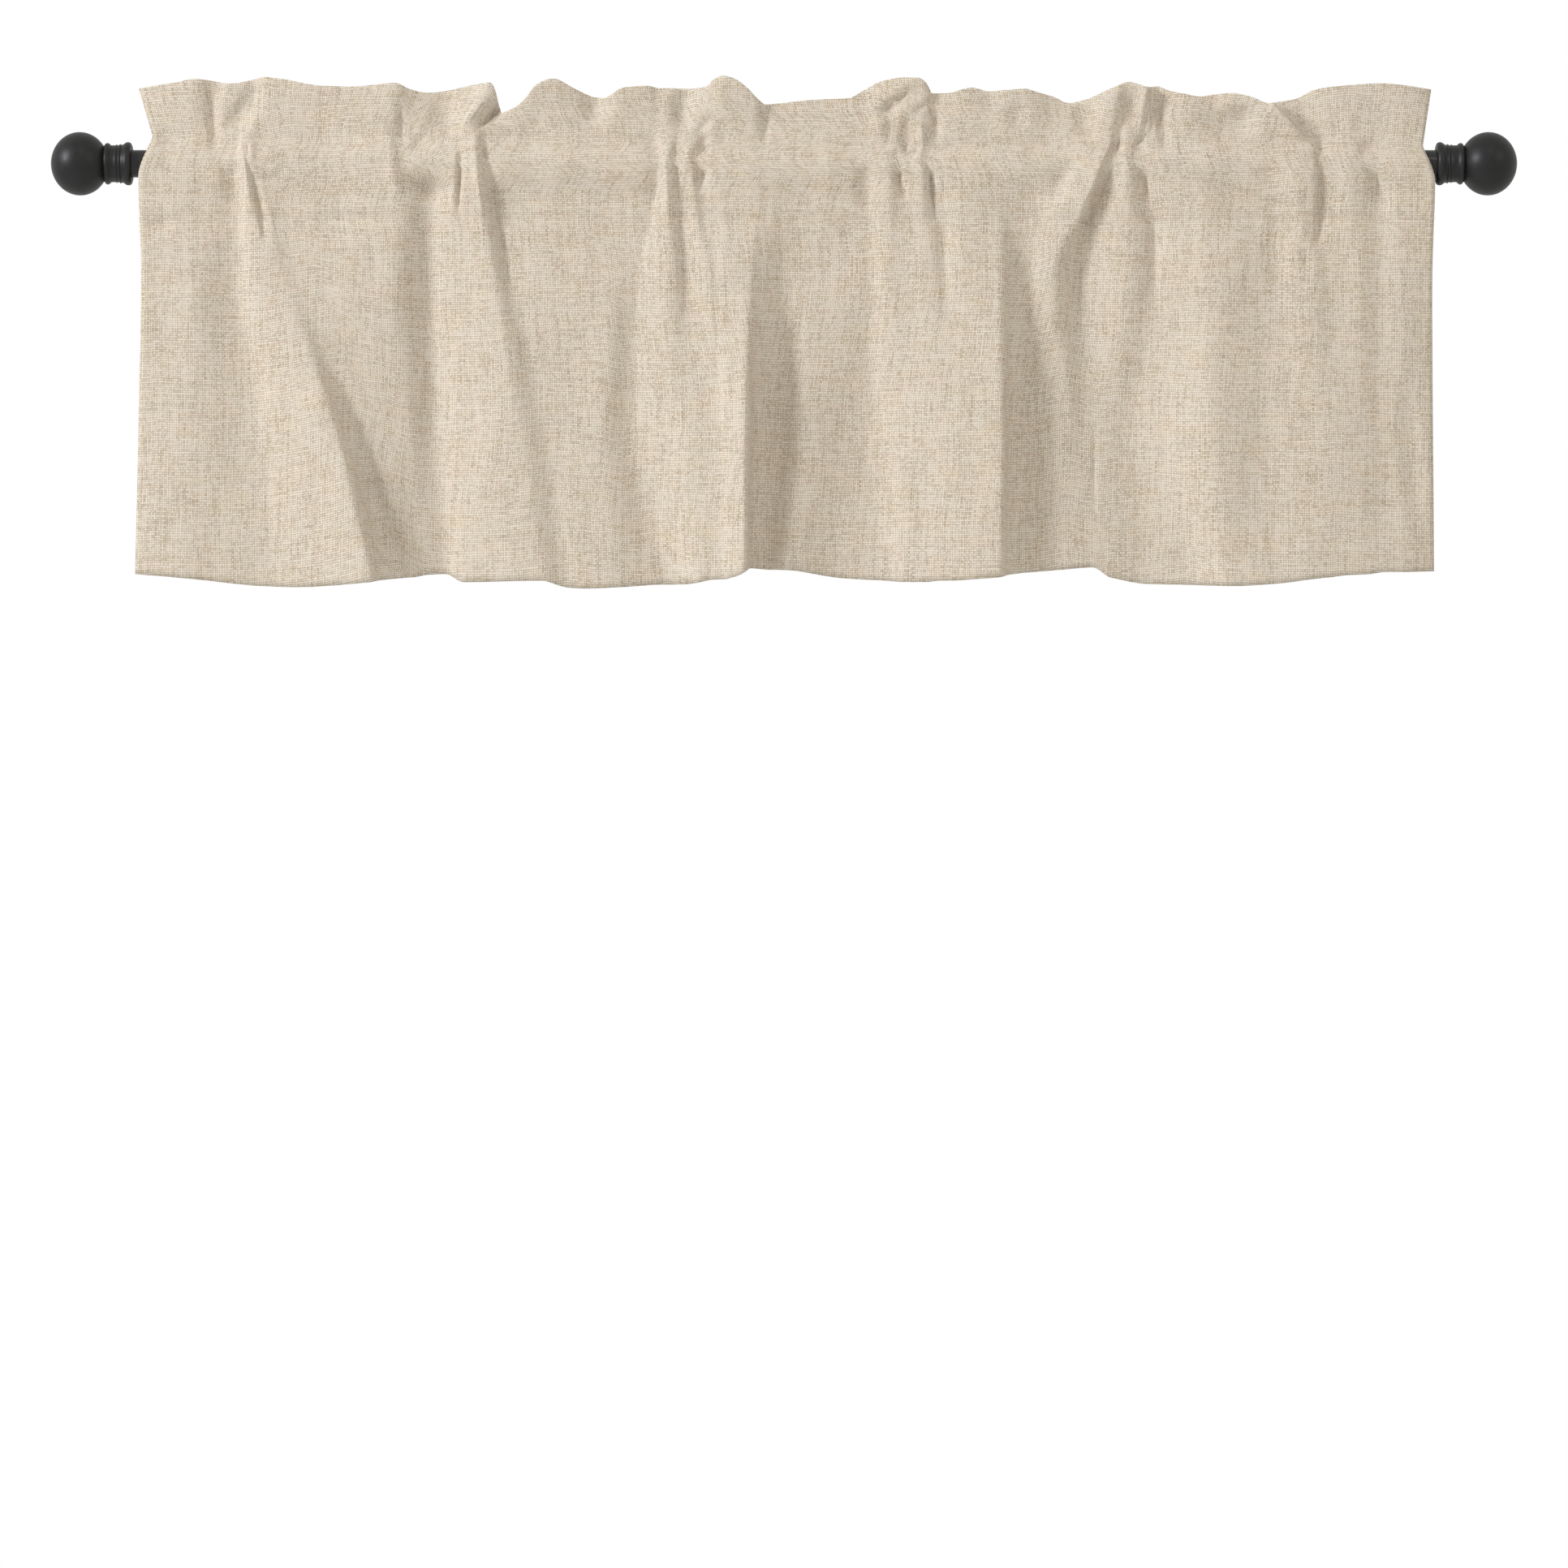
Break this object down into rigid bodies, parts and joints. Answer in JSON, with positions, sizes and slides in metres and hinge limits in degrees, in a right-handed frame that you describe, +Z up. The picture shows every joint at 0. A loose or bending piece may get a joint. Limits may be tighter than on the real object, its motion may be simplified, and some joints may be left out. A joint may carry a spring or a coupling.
{
  "type": "window valance on its curtain rod",
  "caption": "Short gathered curtain with a rod pocket and a standing ruffled header, hung on a round rod with a ball finial at each end.",
  "frame": {"origin": "on the rod's axis, half way between the two finials", "axes": "+X along the rod, to the right of someone who looks at the front; -Y out of the front, into the room; +Z up"},
  "size_m": [1.3564, 0.0629, 0.471],
  "materials": {
    "valance_cloth": "matte plain weave with slubs, beige",
    "curtain_rod": "satin black",
    "finial": "matte black"
  },
  "bodies": {
    "root": {"valance_cloth": "valance_cloth", "curtain_rod": "curtain_rod", "finial_left": "finial", "finial_right": "finial"}
  },
  "joints": []
}
